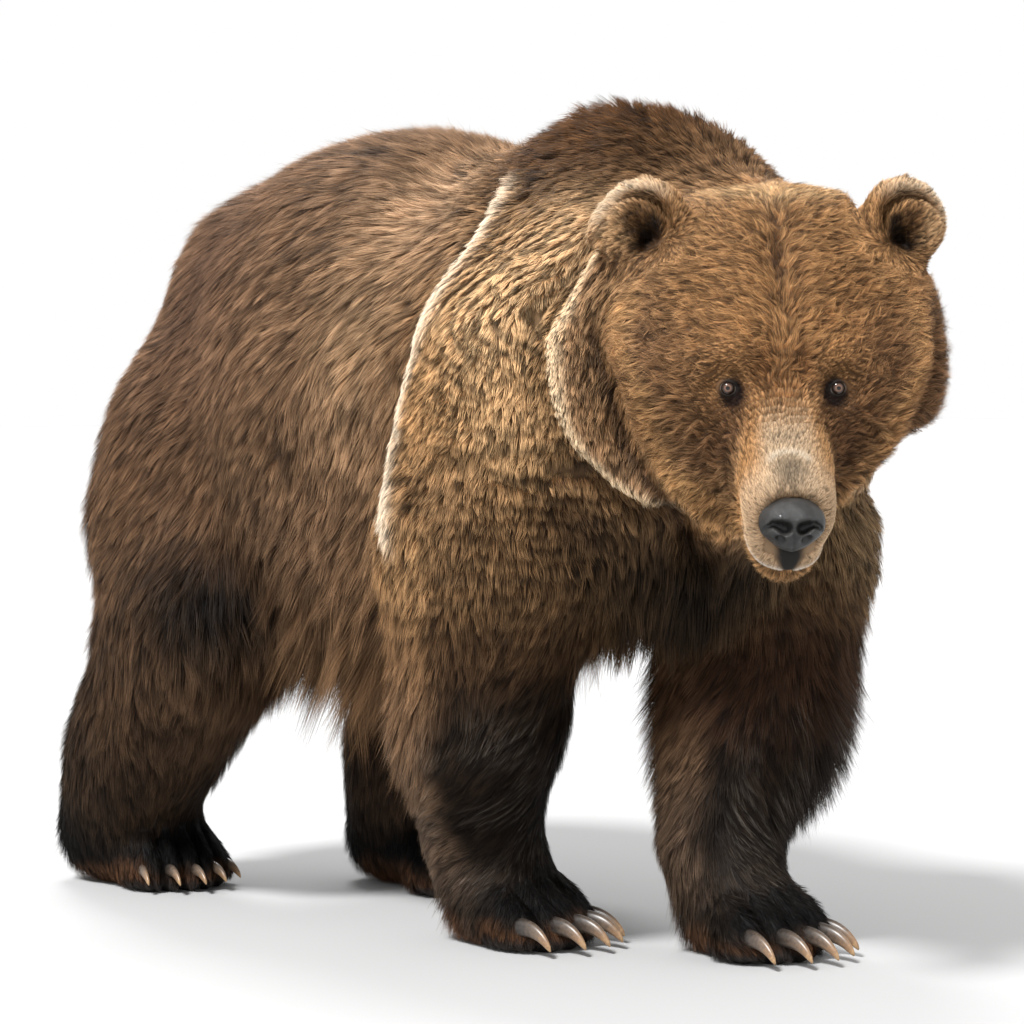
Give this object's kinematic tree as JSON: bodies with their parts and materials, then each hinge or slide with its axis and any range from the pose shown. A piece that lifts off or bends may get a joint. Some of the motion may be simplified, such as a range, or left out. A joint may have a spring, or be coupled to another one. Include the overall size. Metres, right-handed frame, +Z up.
{
  "type": "brown bear",
  "caption": "Life-size adult brown bear standing in mid-stride, head lowered and turned to its right, with a shaggy coat and long curved claws.",
  "frame": {"origin": "on the floor, below the middle of the bear's box", "axes": "+X to the bear's left, -Y the way its body faces, +Z up from the floor"},
  "size_m": [0.688, 1.6606, 1.1447],
  "materials": {
    "coat": "long brown fur",
    "dark_coat": "dark brown fur",
    "nose_leather": "damp pebbled skin",
    "eye": "wet gloss",
    "horn": "horn, smooth satin"
  },
  "bodies": {
    "root": {"rump": "coat", "barrel": "coat", "shoulders": "coat", "neck": "coat", "tail": "coat", "upper_arm_left": "coat", "forearm_left": "dark_coat", "forepaw_left": "dark_coat", "fore_claw_left_1": "horn", "fore_claw_left_2": "horn", "fore_claw_left_3": "horn", "fore_claw_left_4": "horn", "fore_claw_left_5": "horn", "thigh_left": "coat", "shank_left": "dark_coat", "hindpaw_left": "dark_coat", "hind_claw_left_1": "horn", "hind_claw_left_2": "horn", "hind_claw_left_3": "horn", "hind_claw_left_4": "horn", "hind_claw_left_5": "horn", "eye_left": "eye", "ear_left": "coat", "upper_arm_right": "coat", "forearm_right": "dark_coat", "forepaw_right": "dark_coat", "fore_claw_right_1": "horn", "fore_claw_right_2": "horn", "fore_claw_right_3": "horn", "fore_claw_right_4": "horn", "fore_claw_right_5": "horn", "thigh_right": "coat", "shank_right": "dark_coat", "hindpaw_right": "dark_coat", "hind_claw_right_1": "horn", "hind_claw_right_2": "horn", "hind_claw_right_3": "horn", "hind_claw_right_4": "horn", "hind_claw_right_5": "horn", "eye_right": "eye", "ear_right": "coat", "nose": "nose_leather", "lower_jaw": "coat", "head": "coat", "muzzle": "coat"}
  },
  "joints": []
}
